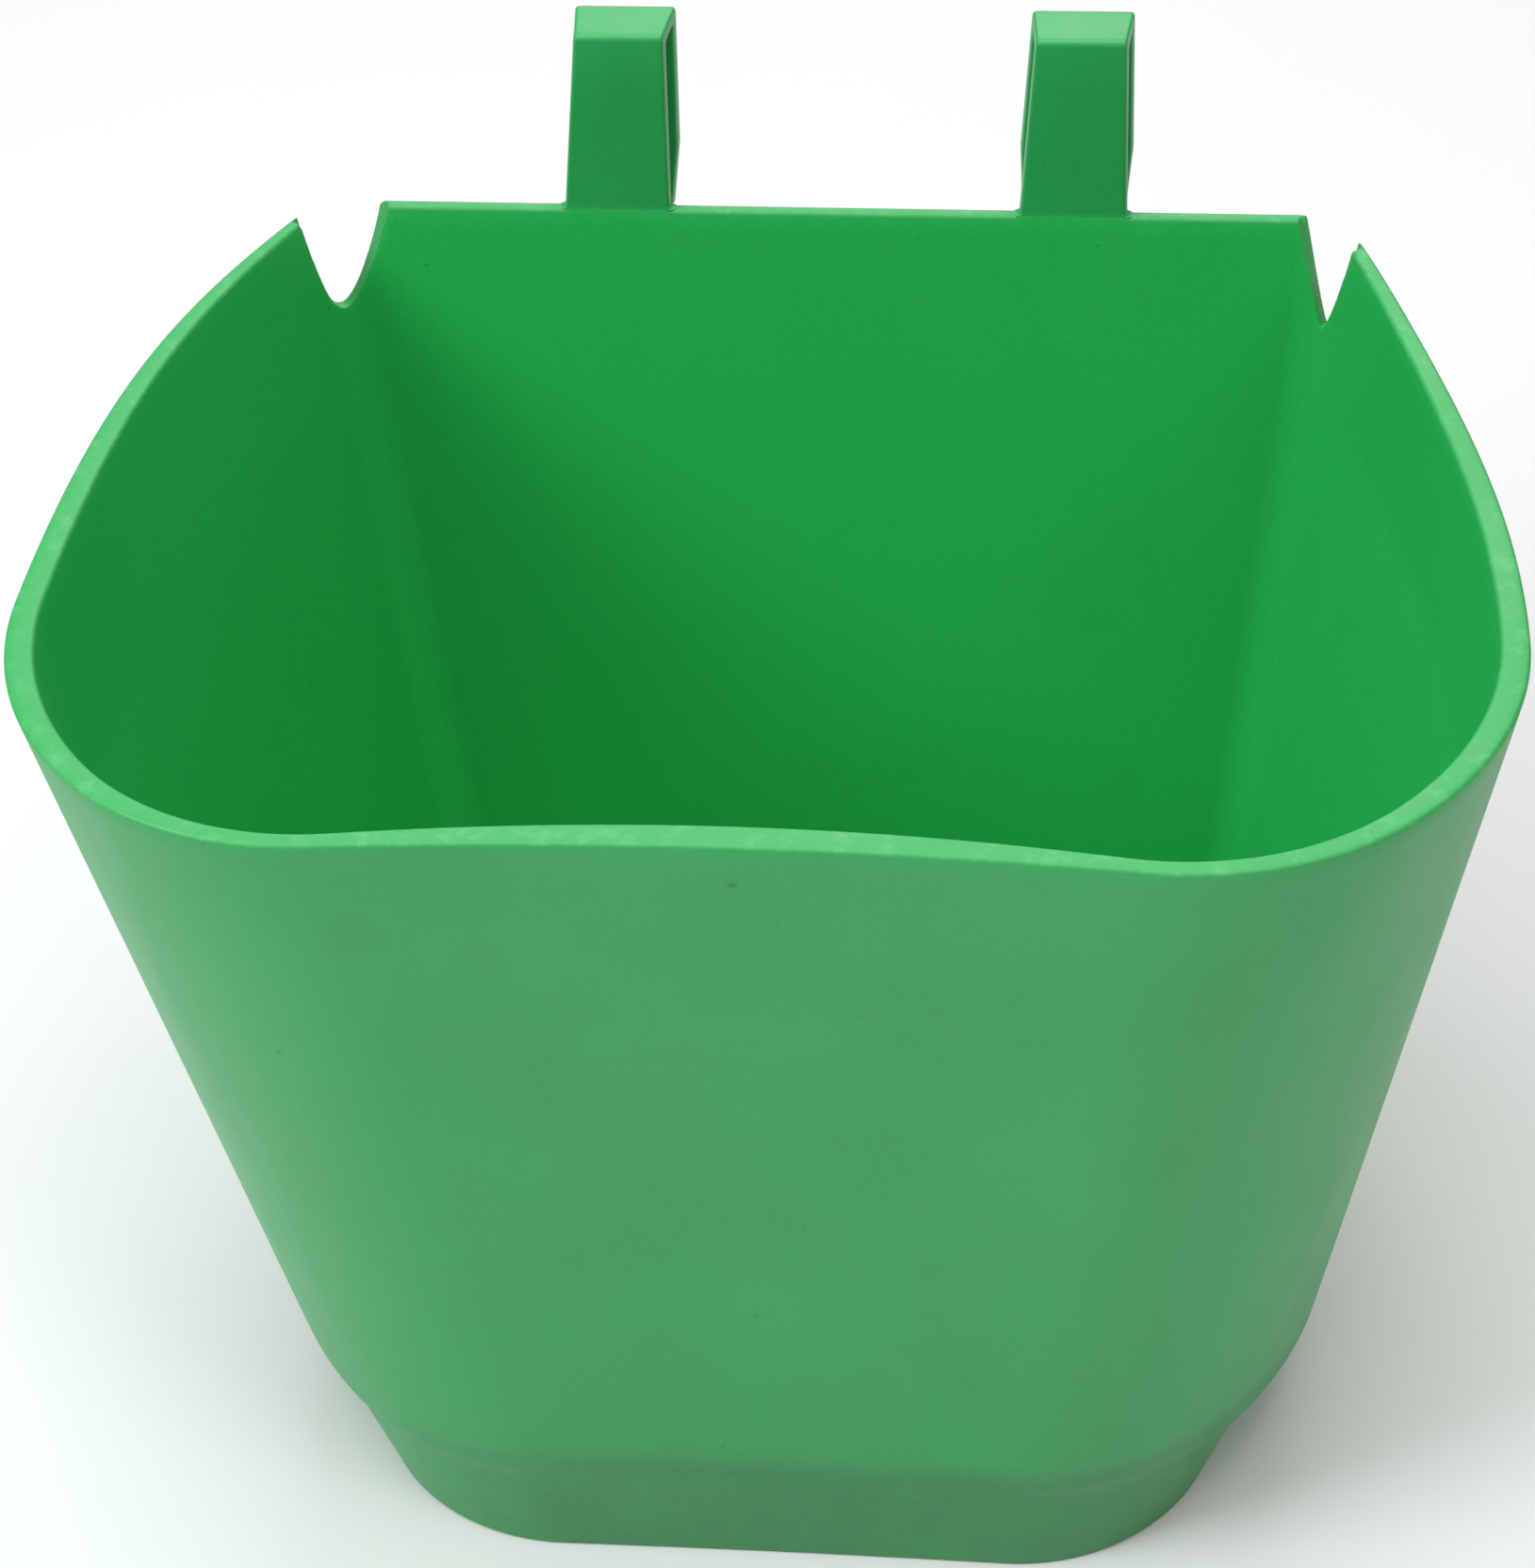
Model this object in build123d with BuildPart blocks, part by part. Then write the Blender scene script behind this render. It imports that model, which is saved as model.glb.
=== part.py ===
"""Hook-over feed bucket for a stable: one plastic moulding, divided into its named regions.

Millimetres, +Z up, -Y towards the front (the round side). The origin is the middle of the
overall box at the height of the surface that the foot stands on.
"""
import os
from math import asin, atan, cos, degrees, radians, sin, sqrt, tan

from build123d import *

# Overall sizes
RIM_Z = 307.0           # height of the rim above the foot
CREASE_Z = 53.0         # below this height the front leans back more
SHOULDER_Z = 24.0       # height of the flat underside round the foot
BACK_Y = 144.5          # outer face of the flat back wall
WALL = 4.5              # wall thickness below the rim
BACK_WALL = 4.0         # thickness of the back wall and of the hooks' straps at the rim
TAPER_Z = 247.0         # below this height the wall is WALL thick, above it grows to the rim
SHOULDER_RADIUS = 18.0  # rounding of the shoulder above the foot
FLOOR = 4.5             # thickness of the floor

# Plan outlines: half width, depth from the back face to the front lobes, distance of the
# widest line from the back face, angle of the side at the back face, radii of the rear
# corner and of the tighter arc of the front corner, angle of the wider arc before it, and
# how far the middle of the front is bowed in between the lobes.
RIM = dict(half=200.0, depth=306.0, widest=208.0, flare=24.5, rear=20.0, corner=84.0,
           turn=41.0, bow=5.0)
RIM_INSIDE = dict(half=192.2, depth=300.5, widest=206.0, flare=22.8, rear=16.0, corner=76.0,
                  turn=41.0, bow=8.5)
SHOULDER = dict(half=158.0, depth=270.0, widest=161.0, flare=16.8, rear=20.0, corner=80.0,
                turn=48.0, bow=0.5)
FOOT_TOP = dict(half=154.5, depth=273.8, widest=182.8, flare=12.8, rear=15.0, corner=91.0,
                turn=45.0, bow=0.5)
FOOT = dict(half=128.0, depth=264.5, widest=203.5, flare=9.5, rear=15.0, corner=61.0,
            turn=45.0, bow=0.5)
LEAN_BACK = 1.3         # the shoulder's front is this much shallower than the wall's line
FOOT_SETBACK = 1.0      # the foot's back face is this far in front of the back wall's face

# Open notches in the rear corners of the rim
NOTCH_X = 148.0
NOTCH_Y = -7.0          # from the back face
NOTCH_AXIS = 33.0       # angle of the cut's axis from +Y, outwards
NOTCH_HALF_TOP = 13.0
NOTCH_HALF_BOTTOM = 6.5
NOTCH_DEPTH = 33.0
NOTCH_RADIUS = 6.0
NOTCH_RISE = 6.0        # the cutting block starts this far above the rim
CUT_LENGTH = 60.0       # length of each cutting block, past both faces of the wall
CUT_OVERLAP = 1.0       # the cavity's cutter starts this far above the rim

# Hooks: strap up from the back wall, short flat top, leg down behind the wall
HOOK_SPACING = 137.5    # between the two hooks' centre lines
REAR_OFFSET = 6.5       # hooks sit this far to the right of the bucket's centre line
NOTCH_OFFSET = 2.5      # and the notches this far
HOOK_HEIGHT = 59.0      # above the rim
LEFT_LEAN = 3.8         # the left hook's top is this far to the right of its foot
RIGHT_LEAN = 2.0        # and the right hook's
HOOK_GAP = 11.0         # between the back wall and the leg
HOOK_LEG = 4.5          # thickness of the leg
HOOK_TOP = 4.5          # thickness of the flat top
LEG_DROP = 12.0         # the leg's tip is this far below the rim
STRAP_HALF_TOP = 13.2
STRAP_HALF_FOOT = 15.8
HOOK_FLARE = 1.8        # the hook is this much wider each side at the leg than at the strap
OUTER_RADIUS = 2.0
TIP_RADIUS = 5.0
LEG_KINK = 5.0          # the leg narrows from this height above the rim
TIP_NARROWING = 3.0     # by this much each side at its tip

# Where the moulding is divided into its regions
BASE_TOP_Z = CREASE_Z
LIP_BOTTOM_Z = RIM_Z - 14.0
BACK_HALF = 118.0       # half width of the flat back wall
FRONT_HALF = 104.0      # half width of the front wall, between the round front corners
FRONT_DEPTH = 208.0     # the front wall starts at the bucket's widest line
LIP_BACK_Y = BACK_Y - 6.5
BIG = 500.0


def level(z):
    """Plan sizes of the outer wall at height z, between the shoulder and the rim."""
    share = (z - SHOULDER_Z) / (RIM_Z - SHOULDER_Z)
    return {key: SHOULDER[key] + share * (RIM[key] - SHOULDER[key]) for key in RIM}


def arc(centre, radius, start, end):
    """Arc about a centre, from one angle to another in degrees, on the right-hand side."""
    points = []
    for angle in (start, (start + end) / 2, end):
        x = centre[0] + radius * cos(radians(angle))
        y = centre[1] + radius * sin(radians(angle))
        points.append((x, BACK_Y + y))
    ThreePointArc(*points)
    ThreePointArc(*[(-x, y) for x, y in points])
    return points


def draw_wall(half, depth, widest, flare, rear, corner, turn, bow, inset=0.0, back=None):
    """Bucket's closed plan outline, moved in by inset. Depths are from the back face."""
    side = widest / sin(radians(flare))
    wide = corner + (depth - widest - corner) / sin(radians(turn))
    side_centre = (half - side, -widest)
    wide_centre = (half - wide, -widest)
    corner_centre = (wide_centre[0] + (wide - corner) * cos(radians(turn)),
                     -widest - (wide - corner) * sin(radians(turn)))
    dip = degrees(2 * atan(bow / corner_centre[0]))
    line = -inset if back is None else back
    side, wide, corner = side - inset, wide - inset, corner - inset
    rear = rear - inset
    rise = widest + line - rear
    rear_centre = (side_centre[0] + sqrt((side - rear) ** 2 - rise ** 2), line - rear)
    meeting = degrees(asin(rise / (side - rear)))

    start = arc(rear_centre, rear, 90, meeting)[0]
    arc(side_centre, side, meeting, 0)
    arc(wide_centre, wide, 0, -turn)
    end = arc(corner_centre, corner, -turn, -90 - dip)[2]
    middle = (0, end[1] + end[0] * tan(radians(dip / 2)))
    ThreePointArc(end, middle, (-end[0], end[1]))
    Line((-start[0], start[1]), start)


def wall_sketch(z, sizes, inset=0.0, back=None):
    """Plan section of the bucket at height z."""
    with BuildSketch(Plane.XY.offset(z)) as section:
        with BuildLine():
            draw_wall(**sizes, inset=inset, back=back)
        make_face()
    return section.sketch


def foot_sketch(z, inset=0.0):
    """Plan section of the foot at height z, moved in by inset."""
    share = z / CREASE_Z
    sizes = {key: FOOT[key] + share * (FOOT_TOP[key] - FOOT[key]) for key in FOOT}
    return wall_sketch(z, sizes, inset=inset, back=-FOOT_SETBACK - inset)


def block(x, y, z, mode):
    """Box between pairs of limits, in the part that is being built."""
    with Locations(((x[0] + x[1]) / 2, (y[0] + y[1]) / 2, (z[0] + z[1]) / 2)):
        Box(x[1] - x[0], y[1] - y[0], z[1] - z[0], mode=mode)


# The whole moulding, before it is divided -----------------------------------------------

with BuildPart() as body:
    add(wall_sketch(RIM_Z, RIM))
    add(wall_sketch(CREASE_Z, level(CREASE_Z)))
    add(wall_sketch(SHOULDER_Z, dict(SHOULDER, depth=SHOULDER["depth"] - LEAN_BACK)))
    loft(ruled=True)
    fillet(body.faces().sort_by(Axis.Z)[0].edges(), SHOULDER_RADIUS)

with BuildPart() as foot:
    add(foot_sketch(CREASE_Z))
    add(foot_sketch(0))
    loft(ruled=True)

# The inside is cut by three solids: the taper under the rim, the main cavity and the foot
with BuildPart() as rim_cavity:
    add(wall_sketch(RIM_Z + CUT_OVERLAP, RIM_INSIDE, back=-BACK_WALL))
    add(wall_sketch(TAPER_Z, level(TAPER_Z), inset=WALL))
    loft(ruled=True)

with BuildPart() as main_cavity:
    add(wall_sketch(TAPER_Z, level(TAPER_Z), inset=WALL))
    add(wall_sketch(SHOULDER_Z + FLOOR, level(SHOULDER_Z + FLOOR), inset=WALL))
    loft(ruled=True)
    fillet(main_cavity.faces().sort_by(Axis.Z)[0].edges(), SHOULDER_RADIUS - WALL)

with BuildPart() as foot_cavity:
    add(foot_sketch(CREASE_Z, inset=WALL))
    add(foot_sketch(FLOOR, inset=WALL))
    loft(ruled=True)

with BuildPart() as notch_cuts:
    for side in (-1, 1):
        axis = (side * sin(radians(NOTCH_AXIS)), cos(radians(NOTCH_AXIS)), 0)
        across = (-axis[1], axis[0], 0)
        centre = (side * NOTCH_X + NOTCH_OFFSET, BACK_Y + NOTCH_Y, RIM_Z)
        with BuildSketch(Plane(origin=centre, x_dir=across, z_dir=axis)) as notch:
            with BuildLine():
                Polyline((-NOTCH_HALF_TOP, NOTCH_RISE), (-NOTCH_HALF_BOTTOM, -NOTCH_DEPTH),
                         (NOTCH_HALF_BOTTOM, -NOTCH_DEPTH), (NOTCH_HALF_TOP, NOTCH_RISE), close=True)
            make_face()
            fillet(notch.vertices().group_by(Axis.Z)[0], NOTCH_RADIUS)
        extrude(amount=CUT_LENGTH / 2, both=True)

with BuildPart() as moulding:
    add([body.part, foot.part])
    add([rim_cavity.part, main_cavity.part, foot_cavity.part, notch_cuts.part],
        mode=Mode.SUBTRACT)

# Regions of the moulding ----------------------------------------------------------------

os.makedirs("parts", exist_ok=True)
FRONT_Y = BACK_Y - FRONT_DEPTH

with BuildPart() as floor_plate:
    add(moulding.part)
    block((-BIG, BIG), (-BIG, BIG), (-BIG, FLOOR), Mode.INTERSECT)
floor_plate.part.label = "floor_plate"
export_step(floor_plate.part, "parts/floor_plate.step")

with BuildPart() as foot_wall:
    add(moulding.part)
    block((-BIG, BIG), (-BIG, BIG), (FLOOR, SHOULDER_Z), Mode.INTERSECT)
foot_wall.part.label = "foot_wall"
export_step(foot_wall.part, "parts/foot_wall.step")

with BuildPart() as shoulder:
    add(moulding.part)
    block((-BIG, BIG), (-BIG, BIG), (SHOULDER_Z, BASE_TOP_Z), Mode.INTERSECT)
shoulder.part.label = "shoulder"
export_step(shoulder.part, "parts/shoulder.step")

with BuildPart() as rim_lip:
    add(moulding.part)
    block((-BIG, BIG), (-BIG, LIP_BACK_Y), (LIP_BOTTOM_Z, BIG), Mode.INTERSECT)
rim_lip.part.label = "rim_lip"
export_step(rim_lip.part, "parts/rim_lip.step")

with BuildPart() as front_wall:
    add(moulding.part)
    block((-FRONT_HALF, FRONT_HALF), (-BIG, FRONT_Y), (BASE_TOP_Z, LIP_BOTTOM_Z), Mode.INTERSECT)
front_wall.part.label = "front_wall"
export_step(front_wall.part, "parts/front_wall.step")

with BuildPart() as left_front_corner:
    add(moulding.part)
    block((-BIG, -FRONT_HALF), (-BIG, FRONT_Y), (BASE_TOP_Z, LIP_BOTTOM_Z), Mode.INTERSECT)
left_front_corner.part.label = "left_front_corner"
export_step(left_front_corner.part, "parts/left_front_corner.step")

with BuildPart() as right_front_corner:
    add(moulding.part)
    block((FRONT_HALF, BIG), (-BIG, FRONT_Y), (BASE_TOP_Z, LIP_BOTTOM_Z), Mode.INTERSECT)
right_front_corner.part.label = "right_front_corner"
export_step(right_front_corner.part, "parts/right_front_corner.step")

with BuildPart() as back_wall:
    add(moulding.part)
    block((-BACK_HALF, BACK_HALF), (FRONT_Y, BIG), (BASE_TOP_Z, BIG), Mode.INTERSECT)
back_wall.part.label = "back_wall"
export_step(back_wall.part, "parts/back_wall.step")

with BuildPart() as left_side_wall:
    add(moulding.part)
    block((-BIG, -BACK_HALF), (FRONT_Y, BIG), (BASE_TOP_Z, BIG), Mode.INTERSECT)
    block((-BIG, -BACK_HALF), (-BIG, LIP_BACK_Y), (LIP_BOTTOM_Z, BIG), Mode.SUBTRACT)
left_side_wall.part.label = "left_side_wall"
export_step(left_side_wall.part, "parts/left_side_wall.step")

with BuildPart() as right_side_wall:
    add(moulding.part)
    block((BACK_HALF, BIG), (FRONT_Y, BIG), (BASE_TOP_Z, BIG), Mode.INTERSECT)
    block((BACK_HALF, BIG), (-BIG, LIP_BACK_Y), (LIP_BOTTOM_Z, BIG), Mode.SUBTRACT)
right_side_wall.part.label = "right_side_wall"
export_step(right_side_wall.part, "parts/right_side_wall.step")

# Hooks ----------------------------------------------------------------------------------

STRAP_Y = BACK_Y - BACK_WALL            # front face of the strap, flush inside the wall
LEG_INNER_Y = BACK_Y + HOOK_GAP
LEG_OUTER_Y = LEG_INNER_Y + HOOK_LEG
HOOK_TOP_Z = RIM_Z + HOOK_HEIGHT
TIP_Z = RIM_Z - LEG_DROP
KINK_Z = RIM_Z + LEG_KINK
WIDENING = (STRAP_HALF_FOOT - STRAP_HALF_TOP) / HOOK_HEIGHT


def hook_sketch(centre_x, y, lean, flare, narrowing):
    """Outline of the hook seen from the front, at depth y. It leans to the right."""
    corners = []
    for z, inset in ((HOOK_TOP_Z, 0), (KINK_Z, 0), (TIP_Z, narrowing)):
        middle = lean * (z - RIM_Z) / HOOK_HEIGHT
        half = STRAP_HALF_TOP + WIDENING * (HOOK_TOP_Z - z) + flare - inset
        corners.append((middle - half, middle + half, z))
    left = [(low, z) for low, high, z in corners]
    right = [(high, z) for low, high, z in corners]
    with BuildSketch(Plane(origin=(centre_x, y, 0), x_dir=(1, 0, 0), z_dir=(0, -1, 0))) as face:
        with BuildLine():
            Polyline(*left, *right[::-1], close=True)
        make_face()
    return face.sketch


def hook_solid(centre_x, lean):
    """Strap, flat top and leg of one hook, cut from a block that widens towards the leg."""
    with BuildPart() as hook:
        add(hook_sketch(centre_x, STRAP_Y, lean, 0, 0))
        add(hook_sketch(centre_x, LEG_OUTER_Y, lean, HOOK_FLARE, TIP_NARROWING))
        loft(ruled=True)
        block((-BIG, BIG), (BACK_Y, LEG_INNER_Y), (0, HOOK_TOP_Z - HOOK_TOP), Mode.SUBTRACT)
        block((-BIG, BIG), (0, BACK_Y), (0, RIM_Z), Mode.SUBTRACT)
        fillet(hook.edges().filter_by(Axis.X).group_by(Axis.Z)[-1], OUTER_RADIUS)
        tip_edges = hook.faces().sort_by(Axis.Z)[0].edges().sort_by(Axis.X)
        fillet([tip_edges[0], tip_edges[-1]], TIP_RADIUS)
    return hook.part


left_shape = hook_solid(REAR_OFFSET - HOOK_SPACING / 2, LEFT_LEAN)
with BuildPart() as left_hook:
    add(left_shape)
left_hook.part.label = "left_hook"
export_step(left_hook.part, "parts/left_hook.step")

right_shape = hook_solid(REAR_OFFSET + HOOK_SPACING / 2, RIGHT_LEAN)
with BuildPart() as right_hook:
    add(right_shape)
right_hook.part.label = "right_hook"
export_step(right_hook.part, "parts/right_hook.step")
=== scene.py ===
"""Looks of a hook-over feed bucket for a stable, one satin green plastic moulding.

Metres, +Z up, -Y towards the front. The shell is one closed skin of columns that run round the
bucket's plan and rows that run over the foot, the outer wall, the rim, the inner wall and the
floor. The two hooks are skins of their own, swept from the back wall's top edge.
"""
from math import asin, atan, cos, degrees, pi, radians, sin, sqrt, tan

import bmesh
import bpy
import numpy as np
from mathutils import Matrix, Vector


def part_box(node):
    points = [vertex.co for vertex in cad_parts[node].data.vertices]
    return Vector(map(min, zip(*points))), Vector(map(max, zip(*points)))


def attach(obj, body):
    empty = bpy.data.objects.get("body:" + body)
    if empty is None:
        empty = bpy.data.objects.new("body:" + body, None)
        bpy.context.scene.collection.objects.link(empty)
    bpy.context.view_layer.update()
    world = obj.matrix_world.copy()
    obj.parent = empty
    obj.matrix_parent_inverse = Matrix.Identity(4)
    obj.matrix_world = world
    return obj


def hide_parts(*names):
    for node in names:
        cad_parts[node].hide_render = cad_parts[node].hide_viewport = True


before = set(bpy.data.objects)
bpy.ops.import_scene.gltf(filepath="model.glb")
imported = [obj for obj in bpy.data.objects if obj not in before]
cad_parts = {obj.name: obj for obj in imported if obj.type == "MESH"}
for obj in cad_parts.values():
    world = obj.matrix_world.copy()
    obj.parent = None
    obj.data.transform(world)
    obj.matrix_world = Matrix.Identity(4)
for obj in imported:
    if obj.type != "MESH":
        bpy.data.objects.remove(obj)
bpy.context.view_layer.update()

# Sizes read from the frame
RIM_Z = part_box("rim_lip")[1].z
BACK_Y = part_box("back_wall")[1].y
CREASE_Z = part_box("shoulder")[1].z
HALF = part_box("rim_lip")[1].x
DEPTH = BACK_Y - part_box("rim_lip")[0].y
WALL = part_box("back_wall")[1].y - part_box("back_wall")[0].y

# Plan outlines at the rim, inside the rim, at the shoulder and of the foot: half width, depth
# from the back face to the front lobes, distance of the widest line from the back face, angle
# of the side at the back, radii of the rear corner and of the front corner's tighter arc, angle
# of the wider arc before it, and how far the middle of the front is bowed in
RIM = dict(half=HALF, depth=DEPTH, widest=0.208, flare=24.5, rear=0.020, corner=0.084,
           turn=41.0, bow=0.005)
RIM_INSIDE = dict(half=HALF - 0.0078, depth=DEPTH - 0.0055, widest=0.206, flare=22.8, rear=0.016,
                  corner=0.076, turn=41.0, bow=0.0085)
SHOULDER = dict(half=0.158, depth=0.270, widest=0.161, flare=16.8, rear=0.020, corner=0.080,
                turn=48.0, bow=0.0005)
FOOT_TOP = dict(half=0.1545, depth=0.2738, widest=0.1828, flare=12.8, rear=0.015, corner=0.091,
                turn=45.0, bow=0.0005)
FOOT = dict(half=0.128, depth=0.2645, widest=0.2035, flare=9.5, rear=0.015, corner=0.061,
            turn=45.0, bow=0.0005)
BACK_WALL = 0.004        # thickness of the back wall at the rim
TAPER_Z = 0.247          # the walls thicken from here up to the rim
SHOULDER_Z = 0.024       # height of the flat underside round the foot
SHOULDER_RADIUS = 0.018
LEAN_BACK = 0.0013       # the shoulder's front is this much shallower than the wall's line
FOOT_SETBACK = 0.001     # the foot's back is this far in from the back face
FLOOR = 0.0045


# Columns on each stretch of the half outline. They crowd towards the notched rear corner.
BACK_COLUMNS = 96
REAR_COLUMNS = 44
SIDE_COLUMNS = 84
SIDE_EASE = 1.5
WIDE_COLUMNS = 28
CORNER_COLUMNS = 34
FRONT_COLUMNS = 36


def mixed(low, high, share):
    """Plan sizes between two outlines."""
    return {key: low[key] + share * (high[key] - low[key]) for key in low}


def arc_points(centre, radius, start, end, count, ease=1.0):
    """Points of an arc in plan, without its first one. Ease over 1 crowds them at the start."""
    share = (np.arange(1, count + 1) / count) ** ease
    angle = np.radians(start + (end - start) * share)
    return np.c_[centre[0] + radius * np.cos(angle), centre[1] + radius * np.sin(angle)]


def half_outline(half, depth, widest, flare, rear, corner, turn, bow, inset=0.0, back=None):
    """Right half of a plan outline, from the middle of the back to the middle of the front,
    with the same number of points on each stretch whatever the sizes."""
    side = widest / sin(radians(flare))
    wide = corner + (depth - widest - corner) / sin(radians(turn))
    side_centre = (half - side, -widest)
    wide_centre = (half - wide, -widest)
    corner_centre = (wide_centre[0] + (wide - corner) * cos(radians(turn)),
                     -widest - (wide - corner) * sin(radians(turn)))
    dip = degrees(2 * atan(bow / corner_centre[0]))
    line = -inset if back is None else back
    side, wide, corner, rear = side - inset, wide - inset, corner - inset, rear - inset
    rise = widest + line - rear
    rear_centre = (side_centre[0] + sqrt((side - rear) ** 2 - rise ** 2), line - rear)
    meeting = degrees(asin(rise / (side - rear)))

    straight = np.c_[np.linspace(0, rear_centre[0], BACK_COLUMNS), np.full(BACK_COLUMNS, line)]
    corner_end = arc_points(corner_centre, corner, -turn, -90 - dip, CORNER_COLUMNS)
    end = corner_end[-1]
    front_x = end[0] * (1 - np.arange(1, FRONT_COLUMNS + 1) / FRONT_COLUMNS)
    front_y = end[1] + tan(radians(dip)) * (end[0] ** 2 - front_x ** 2) / (2 * end[0])
    points = np.vstack([straight,
                        arc_points(rear_centre, rear, 90, meeting, REAR_COLUMNS),
                        arc_points(side_centre, side, meeting, 0, SIDE_COLUMNS, SIDE_EASE),
                        arc_points(wide_centre, wide, 0, -turn, WIDE_COLUMNS),
                        corner_end, np.c_[front_x, front_y]])
    return points + (0, BACK_Y)


def outline(sizes, inset=0.0, back=None):
    """Closed plan outline, right half first, then the left half back to the start."""
    right = half_outline(**sizes, inset=inset, back=back)
    left = right[1:-1][::-1] * (-1, 1)
    return np.vstack([right, left])


SIDE_SWAY = 0.0035       # how far the rim's sides are warped to the left

# Open notches in the rear corners of the rim. Along a line that runs outwards and forwards, a
# notch falls from its inner edge to its bottom and climbs to its outer edge: how far out the
# bottom is, the two widths beside it, and the powers of their curves.
NOTCH_Y = -0.007
NOTCH_AXIS = 33.0
NOTCHES = [dict(side=-1, x=-0.1455, bottom=0.0045, inner=0.0168, outer=0.0100, depth=0.0345,
                inner_power=1.7, outer_power=2.6),
           dict(side=1, x=0.1505, bottom=0.0030, inner=0.0114, outer=0.0104, depth=0.0345,
                inner_power=1.3, outer_power=1.3)]


def rim_heights(points):
    """Height of the rim over plan points: level, but for the two notches."""
    height = np.full(len(points), RIM_Z)
    for notch in NOTCHES:
        outwards = np.array((notch["side"] * cos(radians(NOTCH_AXIS)), -sin(radians(NOTCH_AXIS))))
        place = points - (notch["x"], BACK_Y + NOTCH_Y)
        near = np.linalg.norm(place, axis=1) < notch["inner"] + notch["outer"]
        past = place @ outwards - notch["bottom"]
        share = np.where(past > 0, past / notch["outer"], -past / notch["inner"])
        power = np.where(past > 0, notch["outer_power"], notch["inner_power"])
        near &= share < 1
        height[near] -= notch["depth"] * (1 - share[near] ** power[near])
    return height


def swayed(points):
    """Rim outline with its two sides warped a little to the left between back and widest line."""
    depth = np.clip((BACK_Y - points[:, 1]) / RIM["widest"], 0, 1)
    return points - np.c_[SIDE_SWAY * np.sin(pi * depth ** 0.7) ** 2, np.zeros(len(points))]


def between(low, high, share):
    """Rows or columns of points between two outlines; share may differ for each column."""
    share = np.broadcast_to(np.asarray(share, float), (len(low),))[:, None]
    return low + share * (high - low)


def inward(points):
    """Unit normals of a closed plan outline that runs clockwise, pointing to its inside."""
    along = np.roll(points, -1, axis=0) - np.roll(points, 1, axis=0)
    normal = np.c_[along[:, 1], -along[:, 0]]
    return normal / np.linalg.norm(normal, axis=1)[:, None]


def lifted(points, z):
    """Plan points as points in space."""
    return np.c_[points, np.broadcast_to(np.asarray(z, float), (len(points),))]


def rounding(steps):
    """Angles of the inner stations of a quarter round."""
    return np.linspace(0, pi / 2, steps + 2)[1:-1]


SHOULDER_ROWS = 12
FOOT_ROWS = 7
PROFILE_SAMPLES = 60
PROFILE_BLEND = 3        # higher keeps the step onto the foot's line nearer to the foot
EDGE_STEPS = 3           # stations inside each small rounding


def base_rows(wall_at, foot_at, under_z, radius, floor_z, floor_radius):
    """Rows from the crease down over the rounded shoulder to the foot, and down the foot to
    its rounded bottom edge. wall_at and foot_at give the plan outlines at a height."""
    top = wall_at(CREASE_Z)
    normal = inward(top)
    heights = np.linspace(CREASE_Z, under_z, PROFILE_SAMPLES)
    sink = np.clip(under_z + radius - heights, 0, radius)
    inset = radius - np.sqrt(radius ** 2 - sink ** 2)
    walls = np.array([wall_at(z) for z in heights])
    feet = np.array([foot_at(z) for z in heights])
    gap = np.einsum("rcx,cx->rc", feet - walls, normal)
    rows = np.zeros((SHOULDER_ROWS + FOOT_ROWS + 1, len(top), 3))
    for column in range(len(top)):
        over = (inset >= gap[:, column]) & (sink > 0)
        last = int(np.argmax(over)) if over.any() else PROFILE_SAMPLES - 1
        place = walls[:last + 1, column] + inset[:last + 1, None] * normal[column]
        profile = np.c_[place, heights[:last + 1]]
        end = np.append(feet[last, column], heights[last])
        length = np.append(0, np.cumsum(np.linalg.norm(np.diff(profile, axis=0), axis=1)))
        share = length / length[-1]
        profile += (share ** PROFILE_BLEND)[:, None] * (end - profile[-1])
        stations = np.linspace(0, 1, SHOULDER_ROWS + 1)
        for axis in range(3):
            rows[:SHOULDER_ROWS + 1, column, axis] = np.interp(stations, share, profile[:, axis])
    start = rows[SHOULDER_ROWS, :, 2]
    low = foot_at(floor_z)
    high = foot_at(CREASE_Z)
    for row in range(1, FOOT_ROWS + 1):
        z = start + (floor_z + floor_radius - start) * row / FOOT_ROWS
        plan = between(low, high, (z - floor_z) / (CREASE_Z - floor_z))
        rows[SHOULDER_ROWS + row] = lifted(plan, z)
    edge = foot_at(floor_z + floor_radius)
    turn = [lifted(edge + inward(edge) * floor_radius * (1 - cos(angle)),
                   floor_z + floor_radius * (1 - sin(angle)))
            for angle in [*rounding(EDGE_STEPS), pi / 2]]
    return [*rows, *turn]


def level(z):
    """Plan sizes of the outer wall at a height."""
    return mixed(SHOULDER, RIM, (z - SHOULDER_Z) / (RIM_Z - SHOULDER_Z))


def foot_level(z, inset):
    """Plan outline of the foot at a height."""
    return outline(mixed(FOOT, FOOT_TOP, z / CREASE_Z), inset, -FOOT_SETBACK - inset)


WALL_ROWS = 44
RIM_ROWS = 4
LIP_ROWS = 10
INNER_ROWS = 38
FINE = 0.004             # share of the wall's height that the first row beside the crease takes
OUTER_EDGE = 0.0012      # rounding of the rim's outer edge
INNER_EDGE = 0.0016
NOTCH_EDGE = 0.0006      # rounding of the edges in the notches
BOTTOM_EDGE = 0.0022
FLOOR_EDGE = 0.004
STRAP_EDGE = 0.0001      # the back wall's edge stays sharp where a hook's strap grows from it


# What each point of the skin belongs to, for the material
OUTSIDE, RIM_EDGE, INSIDE = 0.0, 0.5, 1.0


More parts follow.
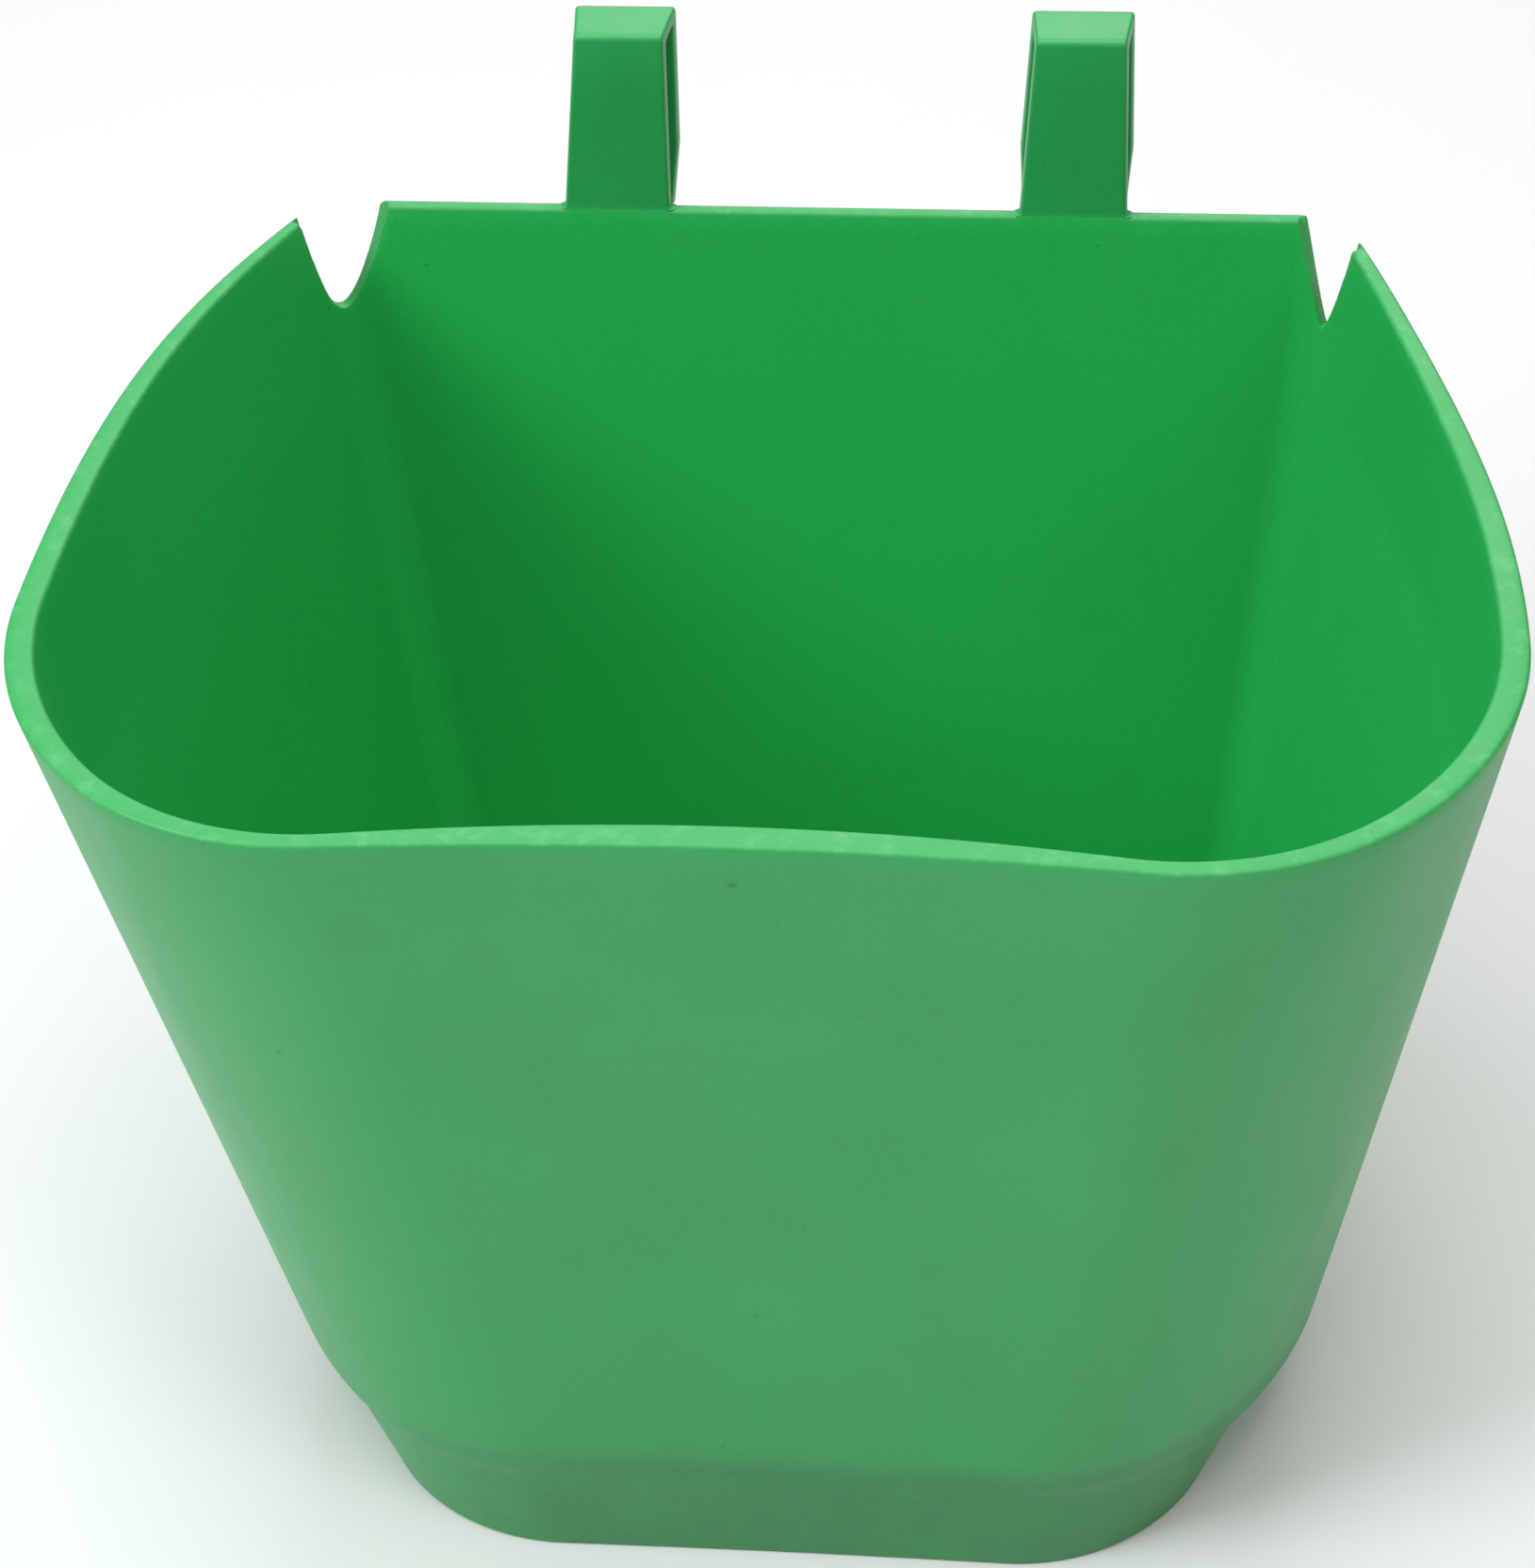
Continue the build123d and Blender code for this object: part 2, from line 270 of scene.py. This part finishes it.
def shell_mesh(hooks):
    """The bucket's whole skin, as one closed mesh, with the zone of each of its points."""
    rim_out, crease_out = swayed(outline(RIM)), outline(level(CREASE_Z))
    shoulder = outline(dict(SHOULDER, depth=SHOULDER["depth"] - LEAN_BACK))
    rim_in = swayed(outline(RIM_INSIDE, back=-BACK_WALL))
    taper_in = outline(level(TAPER_Z), WALL)
    low_z = SHOULDER_Z + FLOOR
    low_in = outline(level(low_z), WALL)

    top_out, top_in = rim_heights(rim_out), rim_heights(rim_in)
    cut = np.clip((RIM_Z - top_out) / NOTCH_EDGE, 0, 1)
    strap = np.zeros(len(rim_out), bool)
    for low, high in hooks:
        strap |= (rim_out[:, 0] > low) & (rim_out[:, 0] < high) & (rim_out[:, 1] > BACK_Y - WALL)
    edge_out = np.where(strap, STRAP_EDGE, OUTER_EDGE + cut * (NOTCH_EDGE - OUTER_EDGE))
    edge_in = np.where(strap, STRAP_EDGE, INNER_EDGE + cut * (NOTCH_EDGE - INNER_EDGE))

    def outer_at(z):
        return between(crease_out, rim_out, (z - CREASE_Z) / (RIM_Z - CREASE_Z))

    def inner_at(z):
        upper = between(taper_in, rim_in, (z - TAPER_Z) / (RIM_Z - TAPER_Z))
        lower = between(low_in, taper_in, (z - low_z) / (TAPER_Z - low_z))
        return np.where(np.broadcast_to(z, (len(upper),))[:, None] > TAPER_Z, upper, lower)

    def below_at(z):
        return between(shoulder, crease_out, (z - SHOULDER_Z) / (CREASE_Z - SHOULDER_Z))

    outside = base_rows(below_at, lambda z: foot_level(z, 0.0), SHOULDER_Z, SHOULDER_RADIUS,
                        0.0, BOTTOM_EDGE)
    inside = base_rows(inner_at, lambda z: foot_level(z, WALL), low_z, SHOULDER_RADIUS - WALL,
                       FLOOR, FLOOR_EDGE)

    rows = outside[::-1]
    for share in [FINE, *(np.arange(1, WALL_ROWS) / WALL_ROWS), 1]:
        z = CREASE_Z + share * (top_out - edge_out - CREASE_Z)
        rows.append(lifted(outer_at(z), z))
    zones = [OUTSIDE] * len(rows)
    high_out, high_in = outer_at(top_out), inner_at(top_in)
    across = high_in - high_out
    across /= np.linalg.norm(across, axis=1)[:, None]
    for angle in rounding(EDGE_STEPS):
        shift = across * (edge_out * (1 - cos(angle)))[:, None]
        rows.append(lifted(outer_at(top_out - edge_out) + shift, top_out - edge_out * (1 - sin(angle))))
    flat_out, flat_in = high_out + across * edge_out[:, None], high_in - across * edge_in[:, None]
    for share in np.linspace(0, 1, RIM_ROWS):
        plan = between(flat_out, flat_in, share)
        rows.append(lifted(plan, top_out + share * (top_in - top_out)))
    for angle in rounding(EDGE_STEPS)[::-1]:
        shift = across * (edge_in * (1 - cos(angle)))[:, None]
        rows.append(lifted(inner_at(top_in - edge_in) - shift, top_in - edge_in * (1 - sin(angle))))
    zones += [RIM_EDGE] * (len(rows) - len(zones))
    for share in np.linspace(0, 1, LIP_ROWS + 1)[:-1]:
        z = top_in - edge_in + share * (TAPER_Z - top_in + edge_in)
        rows.append(lifted(inner_at(z), z))
    for share in np.linspace(0, 1, INNER_ROWS + 1)[:-1]:
        z = TAPER_Z + share * (CREASE_Z - TAPER_Z)
        rows.append(lifted(inner_at(z), z))
    rows += inside
    zones += [INSIDE] * (len(rows) - len(zones))
    return *skin(rows), np.repeat(zones, len(rim_out))


def skin(rows):
    """Closed mesh data over rows of the same number of points, with a flat cap at each end."""
    count = len(rows[0])
    last = (len(rows) - 1) * count
    faces = [tuple(range(count)), tuple(range(last + count - 1, last - 1, -1))]
    for row in range(len(rows) - 1):
        for column in range(count):
            a, b = row * count + column, row * count + (column + 1) % count
            faces.append((a, a + count, b + count, b))
    return np.vstack(rows), faces


SHARP_ANGLE = 32.0       # edges that turn more than this stay crisp in the shading


def piece(name, points, faces, zones, material, *nodes):
    """A visible piece of the bucket, which stands for these CAD nodes."""
    mesh = bpy.data.meshes.new(name)
    mesh.from_pydata([tuple(p) for p in points], [], faces)
    edit = bmesh.new()
    edit.from_mesh(mesh)
    bmesh.ops.recalc_face_normals(edit, faces=edit.faces)
    edit.to_mesh(mesh)
    edit.free()
    mesh.polygons.foreach_set("use_smooth", [True] * len(mesh.polygons))
    mesh.set_sharp_from_angle(angle=radians(SHARP_ANGLE))
    mesh.attributes.new("zone", "FLOAT", "POINT").data.foreach_set("value", zones)
    mesh.materials.append(material)
    made = bpy.data.objects.new(name, mesh)
    bpy.context.scene.collection.objects.link(made)
    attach(made, "root")
    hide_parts(*nodes)
    return made


# Hooks: each is a strip bent twice. Its rings run from the strap's foot to the leg's tip.
HOOK_TOP = 0.0045
HOOK_LEG = 0.0045
STRAP_HALF_TOP = 0.0132
STRAP_HALF_FOOT = 0.0158
HOOK_FLARE = 0.0018
HOOK_BEND = 0.002        # outer radius of the two bends
HOOK_CROOK = 0.0008      # their inner radius
HOOK_EDGE = 0.0011       # rounding of the strip's long edges
BEND_STATIONS = 7
ROOT_STATIONS = 8
TIP_STATIONS = 12
CORNER_STATIONS = 5
HOOK_CENTRES = dict(left_hook=-0.06225, right_hook=0.07525)
HOOK_LEANS = dict(left_hook=0.0038, right_hook=0.0020)  # the top is this far right of the foot
LEG_KINK = 0.005         # the leg narrows from this height above the rim
TIP_NARROWING = 0.003
TIP_RADIUS = 0.005
ROOT_RADIUS = 0.0016     # fillet where the strap grows from the back wall


def bent_line(points, radius, steps):
    """Stations along two straight runs joined to a third by quarter rounds."""
    foot, first, second, tip = [np.array(p) for p in points]
    line = []
    for start, corner, end in ((foot, first, second), (first, second, tip)):
        come, go = corner - start, end - corner
        come, go = come / np.linalg.norm(come), go / np.linalg.norm(go)
        centre = corner - come * radius + go * radius
        for angle in np.linspace(0, pi / 2, steps):
            line.append(centre - go * radius * cos(angle) + come * radius * sin(angle))
    return foot, line[:steps], line[steps:], tip


def hook_mesh(node):
    """One hook, as high and as deep as its CAD node."""
    low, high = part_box(node)
    top_z, tip_z = high.z, low.z
    front_y, rear_y = low.y, high.y
    widening = (STRAP_HALF_FOOT - STRAP_HALF_TOP) / (top_z - RIM_Z)
    lean = HOOK_LEANS[node] / (top_z - RIM_Z)
    under_z, leg_y = top_z - HOOK_TOP, rear_y - HOOK_LEG
    outer = bent_line([(front_y, RIM_Z), (front_y, top_z), (rear_y, top_z), (rear_y, tip_z)],
                      HOOK_BEND, BEND_STATIONS)
    inner = bent_line([(BACK_Y, RIM_Z), (BACK_Y, under_z), (leg_y, under_z), (leg_y, tip_z)],
                      HOOK_CROOK, BEND_STATIONS)

    def run(start, end, shares):
        return [start + (end - start) * share for share in shares]

    def stations(line):
        foot, first, second, tip = line
        curl = 1 - np.cos(np.linspace(0, pi / 2, ROOT_STATIONS))
        root = curl * ROOT_RADIUS / (line[1][0][1] - RIM_Z)
        leg = (second[-1][1] - tip_z - TIP_RADIUS) / (second[-1][1] - tip_z)
        round_tip = leg + (1 - leg) * np.sin(np.linspace(0, pi / 2, TIP_STATIONS))
        return [*run(foot, first[0], [*root, 0.25, 0.5, 0.75]), *first,
                *run(first[-1], second[0], [0.33, 0.67]), *second,
                *run(second[-1], tip, [leg * 0.33, leg * 0.67, *round_tip])]

    def half_at(point):
        y, z = point
        half = STRAP_HALF_TOP + widening * (top_z - z)
        half += HOOK_FLARE * (y - front_y) / (rear_y - front_y)
        if y > BACK_Y + HOOK_LEG:
            kink_z = RIM_Z + LEG_KINK
            half -= TIP_NARROWING * max(kink_z - z, 0) / (kink_z - tip_z)
            sunk = max(tip_z + TIP_RADIUS - z, 0)
            half -= TIP_RADIUS - sqrt(max(TIP_RADIUS ** 2 - sunk ** 2, 0))
        if y < BACK_Y + HOOK_CROOK and z < RIM_Z + ROOT_RADIUS:
            half += ROOT_RADIUS - sqrt(max(ROOT_RADIUS ** 2 - (RIM_Z + ROOT_RADIUS - z) ** 2, 0))
        return half

    rings = []
    for out, into in zip(stations(outer), stations(inner)):
        deep = into - out
        thickness = np.linalg.norm(deep)
        deep /= thickness
        ring = []
        for side_x, base, sign in ((1, out, 1), (1, into, -1), (-1, into, -1), (-1, out, 1)):
            half = half_at(base)
            angles = np.linspace(0, pi / 2, CORNER_STATIONS)
            corner = [(half - HOOK_EDGE * (1 - cos(a)), HOOK_EDGE * (1 - sin(a))) for a in angles]
            if (side_x > 0) == (sign > 0):
                corner.reverse()
            for x, d in corner:
                y, z = base + sign * deep * d
                ring.append((HOOK_CENTRES[node] + lean * (z - RIM_Z) + side_x * x, y, z))
        rings.append(np.array(ring))
    points, faces = skin(rings[::-1])
    return points, faces, np.full(len(points), OUTSIDE)


# Material ---------------------------------------------------------------------------------

PLASTIC = (0.019, 0.325, 0.077, 1)
PLASTIC_PALE = (0.024, 0.350, 0.092, 1)
PLASTIC_INSIDE_PAINTED_LIGHT = (0.020, 0.445, 0.092, 1)     # inside: painted light, brighter than the plastic's own colour
# painted sheen: the rim's top is paler than the plastic's own colour
PLASTIC_RIM_PAINTED_SHEEN = (0.032, 0.350, 0.088, 1)
PLASTIC_SCUFFED = (0.115, 0.470, 0.180, 1)
# Colour of the grime, specks and marks, and of the painted shade on the foot band
PLASTIC_GRIME_AND_SHADE = (0.030, 0.170, 0.055, 1)
ROUGHNESS = (0.36, 0.50)
RIM_DULLNESS = 0.08
FOOT_SHADE_FADE = 0.008        # the foot's painted shade fades out over this much below the crease
FOOT_SHADE_LEFT_START = -0.07  # it thins out from here
FOOT_SHADE_LEFT_END = -0.12    # to here, at the left front corner

# Dark specks and faint smudges on the front wall. Each mark is its x, its distance below the
# rim, its radius and its strength.
MARK_CORE = 0.3          # share of a mark's radius that has its full strength
MARK_WOBBLE = 0.008
MARK_WOBBLE_SCALE = 120.0
MARKS = [(0.002, 0.013, 0.0016, 0.75), (-0.122, 0.083, 0.0018, 0.6), (-0.002, 0.187, 0.0014, 0.7),
         (-0.015, 0.250, 0.0016, 0.6), (-0.095, 0.033, 0.0120, 0.20), (-0.062, 0.042, 0.0100, 0.16)]


def node(tree, kind, inputs=None, **settings):
    """A new shader node; inputs are values or output sockets, by socket name or number."""
    made = tree.nodes.new(kind)
    for key, value in settings.items():
        setattr(made, key, value)
    for key, value in (inputs or {}).items():
        if isinstance(value, bpy.types.NodeSocket):
            tree.links.new(value, made.inputs[key])
        else:
            made.inputs[key].default_value = value
    return made


def noise(tree, place, scale, detail=3.0, roughness=0.55, stretch=(1, 1, 1)):
    """Value of a noise texture over the object, about 0.5 in the middle of its range."""
    moved = node(tree, "ShaderNodeMapping", {"Vector": place, "Scale": stretch})
    made = node(tree, "ShaderNodeTexNoise", {"Vector": moved.outputs[0], "Scale": scale,
                                             "Detail": detail, "Roughness": roughness})
    return made.outputs["Fac"]


def ranged(tree, value, low, high, to_low, to_high):
    """Value mapped from one range to another, and held inside it."""
    made = node(tree, "ShaderNodeMapRange", {"Value": value, "From Min": low, "From Max": high,
                                             "To Min": to_low, "To Max": to_high})
    return made.outputs[0]


def mix(tree, share, first, second):
    """Colour between two colours."""
    made = node(tree, "ShaderNodeMix", data_type="RGBA")
    for number, value in ((0, share), (6, first), (7, second)):    # the sockets for colours
        if isinstance(value, bpy.types.NodeSocket):
            tree.links.new(value, made.inputs[number])
        else:
            made.inputs[number].default_value = value
    return made.outputs[2]


def combined(tree, operation, first, second):
    """Result of a math operation on two values."""
    return node(tree, "ShaderNodeMath", {0: first, 1: second}, operation=operation).outputs[0]


def vectors(tree, operation, first, second):
    """Result of a vector math operation on two vectors."""
    return node(tree, "ShaderNodeVectorMath", {0: first, 1: second}, operation=operation).outputs[0]


def bump(tree, height, strength, distance, under=None):
    """Normal of a bump over the one under it."""
    inputs = {"Height": height, "Strength": strength, "Distance": distance}
    if under:
        inputs["Normal"] = under
    return node(tree, "ShaderNodeBump", inputs).outputs[0]


def marks(tree, place):
    """Strength of the specks and smudges on the front wall, with ragged outlines."""
    wobble = node(tree, "ShaderNodeTexNoise", {"Vector": place, "Scale": MARK_WOBBLE_SCALE})
    centred = vectors(tree, "SUBTRACT", wobble.outputs["Color"], (0.5, 0.5, 0.5))
    shift = node(tree, "ShaderNodeVectorMath", {0: centred, "Scale": MARK_WOBBLE}, operation="SCALE")
    moved = vectors(tree, "ADD", place, shift.outputs[0])
    flat = vectors(tree, "MULTIPLY", moved, (1, 0, 1))
    total = None
    for x, below, radius, strength in MARKS:
        away = node(tree, "ShaderNodeVectorMath", {0: flat, 1: (x, 0, RIM_Z - below)},
                    operation="DISTANCE").outputs["Value"]
        mark = ranged(tree, away, MARK_CORE * radius, radius, strength, 0)
        total = mark if total is None else combined(tree, "MAXIMUM", total, mark)
    y = node(tree, "ShaderNodeSeparateXYZ", {0: place}).outputs["Y"]
    in_front = ranged(tree, y, -0.02, -0.01, 1, 0)
    return combined(tree, "MULTIPLY", total, in_front)


def zone_shares(tree):
    """How far a point belongs to the inside, to the outside and to the rim, each from 0 to 1."""
    zone = node(tree, "ShaderNodeAttribute", attribute_name="zone").outputs["Fac"]
    off_edge = combined(tree, "ABSOLUTE", combined(tree, "SUBTRACT", zone, RIM_EDGE), 0.0)
    return (ranged(tree, zone, 0.5, 0.9, 0, 1), ranged(tree, zone, 0.1, 0.5, 1, 0),
            ranged(tree, off_edge, 0.0, 0.4, 1, 0))


def painted_foot_shade(tree, place):
    """Patchy painted shade on the foot band below the crease, which faces downward. It fades towards the
    left corner, which is left lighter as painted light from the left.
    """
    split = node(tree, "ShaderNodeSeparateXYZ", {0: place})
    low = ranged(tree, split.outputs["Z"], CREASE_Z - FOOT_SHADE_FADE, CREASE_Z + 0.002, 1, 0)
    patches = ranged(tree, noise(tree, place, 30.0, 5.0, 0.7), 0.30, 0.70, 0.30, 0.66)
    foot_band_shade = combined(tree, "MULTIPLY", low, patches)
    # The left corner gets less painted shade: painted light from the left
    shade_left_fade = ranged(tree, split.outputs["X"], FOOT_SHADE_LEFT_END, FOOT_SHADE_LEFT_START, 0.1, 1)
    return combined(tree, "MULTIPLY", foot_band_shade, shade_left_fade)


def dirt_and_foot_shade(tree, place, outside):
    """Strength of grime, painted shade on the foot, specks, sandy grain and marks."""
    grime = ranged(tree, noise(tree, place, 9.0, 5.0, 0.7), 0.60, 0.85, 0, 0.20)
    total = combined(tree, "MAXIMUM", grime, combined(tree, "MULTIPLY", painted_foot_shade(tree, place), outside))
    specks = ranged(tree, noise(tree, place, 330.0, 2.0, 0.4), 0.77, 0.80, 0, 0.45)
    total = combined(tree, "MAXIMUM", total, specks)
    sand = ranged(tree, noise(tree, place, 650.0, 2.0), 0.35, 0.65, 0, 0.11)
    total = combined(tree, "ADD", total, sand)
    return combined(tree, "MAXIMUM", total, combined(tree, "MULTIPLY", marks(tree, place), outside))


def plastic():
    """Satin moulded plastic, mottled, with painted light that brightens the inside, painted sheen that
    pales the rim under its scuffs, painted shade on the foot, and grime outside.
    """
    material = bpy.data.materials.new("green_plastic")
    material.use_nodes = True
    tree = material.node_tree
    shader = tree.nodes["Principled BSDF"]
    place = node(tree, "ShaderNodeTexCoord").outputs["Object"]
    inside, outside, edge = zone_shares(tree)

    # The plastic's own mottled colour, with painted light inside and painted sheen on the rim
    mottle = noise(tree, place, 14.0)
    colour = mix(tree, ranged(tree, mottle, 0.35, 0.65, 0, 1), PLASTIC, PLASTIC_PALE)
    colour = mix(tree, inside, colour, PLASTIC_INSIDE_PAINTED_LIGHT)
    colour = mix(tree, edge, colour, PLASTIC_RIM_PAINTED_SHEEN)

    # Pale scuffs on the rim, and faint upright scratches outside
    scuffs = ranged(tree, noise(tree, place, 120.0, 6.0, 0.7, (1, 1, 0.6)), 0.52, 0.70, 0, 0.55)
    scuffs = combined(tree, "MULTIPLY", scuffs, edge)
    colour = mix(tree, scuffs, colour, PLASTIC_SCUFFED)
    scratches = noise(tree, place, 55.0, 8.0, 0.75, (1, 1, 0.12))
    scratches = combined(tree, "MULTIPLY", ranged(tree, scratches, 0.66, 0.74, 0, 0.16), outside)
    colour = mix(tree, scratches, colour, PLASTIC_SCUFFED)
    # Grime, specks and marks, and painted shade on the foot band below the crease
    colour = mix(tree, dirt_and_foot_shade(tree, place, outside), colour, PLASTIC_GRIME_AND_SHADE)
    tree.links.new(colour, shader.inputs["Base Color"])

    # Gloss follows the mottling and the moulding's flow lines, and the worn rim is duller
    flow = noise(tree, place, 38.0, stretch=(1, 1, 0.25))
    rough = ranged(tree, combined(tree, "ADD", mottle, flow), 0.7, 1.3, *ROUGHNESS)
    rough = combined(tree, "ADD", rough, combined(tree, "MULTIPLY", edge, RIM_DULLNESS))
    tree.links.new(rough, shader.inputs["Roughness"])

    # Fine grain, faint ripples and the scuffs' relief
    grain = bump(tree, noise(tree, place, 900.0, 2.0), 0.12, 0.0004)
    ripple = bump(tree, flow, 0.10, 0.002, grain)
    worn = bump(tree, scuffs, 0.25, 0.0006, ripple)
    tree.links.new(worn, shader.inputs["Normal"])
    shader.inputs["IOR"].default_value = 1.5
    return material


def floor_material():
    """Matt, nearly white floor."""
    material = bpy.data.materials.new("floor")
    material.use_nodes = True
    tree = material.node_tree
    shader = tree.nodes["Principled BSDF"]
    place = node(tree, "ShaderNodeTexCoord").outputs["Object"]
    tone = mix(tree, noise(tree, place, 3.0), (0.74, 0.74, 0.74, 1), (0.76, 0.76, 0.76, 1))
    tree.links.new(tone, shader.inputs["Base Color"])
    shader.inputs["Roughness"].default_value = 0.9
    return material


# Scene ------------------------------------------------------------------------------------

def stage_floor():
    """Plain pale floor that the bucket stands on."""
    mesh = bpy.data.meshes.new("floor")
    size = 8.0
    corners = [(-size, -size, 0), (size, -size, 0), (size, size, 0), (-size, size, 0)]
    mesh.from_pydata(corners, [], [(0, 1, 2, 3)])
    mesh.materials.append(floor_material())
    made = bpy.data.objects.new("floor", mesh)
    bpy.context.scene.collection.objects.link(made)


def soft_light(name, towards, distance, size, power, colour):
    """Square area light in the given direction from the bucket, facing it."""
    light = bpy.data.lights.new(name, "AREA")
    light.size = size
    light.energy = power
    light.color = colour
    made = bpy.data.objects.new(name, light)
    bpy.context.scene.collection.objects.link(made)
    direction = Vector(towards).normalized()
    made.location = Vector((0, 0, RIM_Z / 2)) + direction * distance
    made.rotation_euler = direction.to_track_quat("Z", "Y").to_euler()


def sky(strength):
    """Even white light from all round."""
    world = bpy.data.worlds.new("sky")
    world.use_nodes = True
    background = world.node_tree.nodes["Background"]
    background.inputs["Color"].default_value = (1, 1, 1, 1)
    background.inputs["Strength"].default_value = strength
    bpy.context.scene.world = world


CAMERA_AT = (0.1039, BACK_Y - 1.0531, RIM_Z + 0.6363)
CAMERA_DOWN = 39.1       # tilt below the horizon
CAMERA_TURN = 7.0        # turn to the left
CAMERA_ROLL = -2.75
LENS = 93.0


def camera():
    """Camera in front of the bucket, above it and a little to the right."""
    down_angle, turn, roll = radians(CAMERA_DOWN), radians(CAMERA_TURN), radians(CAMERA_ROLL)
    right = Vector((cos(turn), sin(turn), 0))
    ahead = Vector((-sin(turn) * cos(down_angle), cos(turn) * cos(down_angle), -sin(down_angle)))
    down = ahead.cross(right)
    x_axis = right * cos(roll) - down * sin(roll)
    y_axis = -(right * sin(roll) + down * cos(roll))
    data = bpy.data.cameras.new("camera")
    data.lens = LENS
    made = bpy.data.objects.new("camera", data)
    bpy.context.scene.collection.objects.link(made)
    axes = Matrix((x_axis, y_axis, -ahead)).transposed().to_4x4()
    made.matrix_world = Matrix.Translation(CAMERA_AT) @ axes
    bpy.context.scene.camera = made


green = plastic()
shell = shell_mesh([(x - STRAP_HALF_FOOT, x + STRAP_HALF_FOOT) for x in HOOK_CENTRES.values()])
piece("bucket_shell", *shell, green, "floor_plate", "foot_wall", "shoulder", "front_wall",
      "left_front_corner", "right_front_corner", "left_side_wall", "right_side_wall", "back_wall",
      "rim_lip")
for hook in ("left_hook", "right_hook"):
    piece(hook + "_moulded", *hook_mesh(hook), green, hook)
stage_floor()
sky(0.19)
soft_light("ceiling", (0, -0.15, 1), 2.4, 2.2, 50, (1, 1, 1))
soft_light("wall_behind", (0, 1, 0.85), 2.2, 1.5, 18, (1, 1, 1))
soft_light("window_left", (-1.25, -0.8, 1.25), 2.2, 0.8, 28, (0.92, 0.97, 1))
soft_light("window_right", (0.95, -0.9, 1.25), 2.2, 0.8, 8, (1, 0.98, 0.95))
camera()
bpy.context.scene.view_settings.view_transform = "Standard"
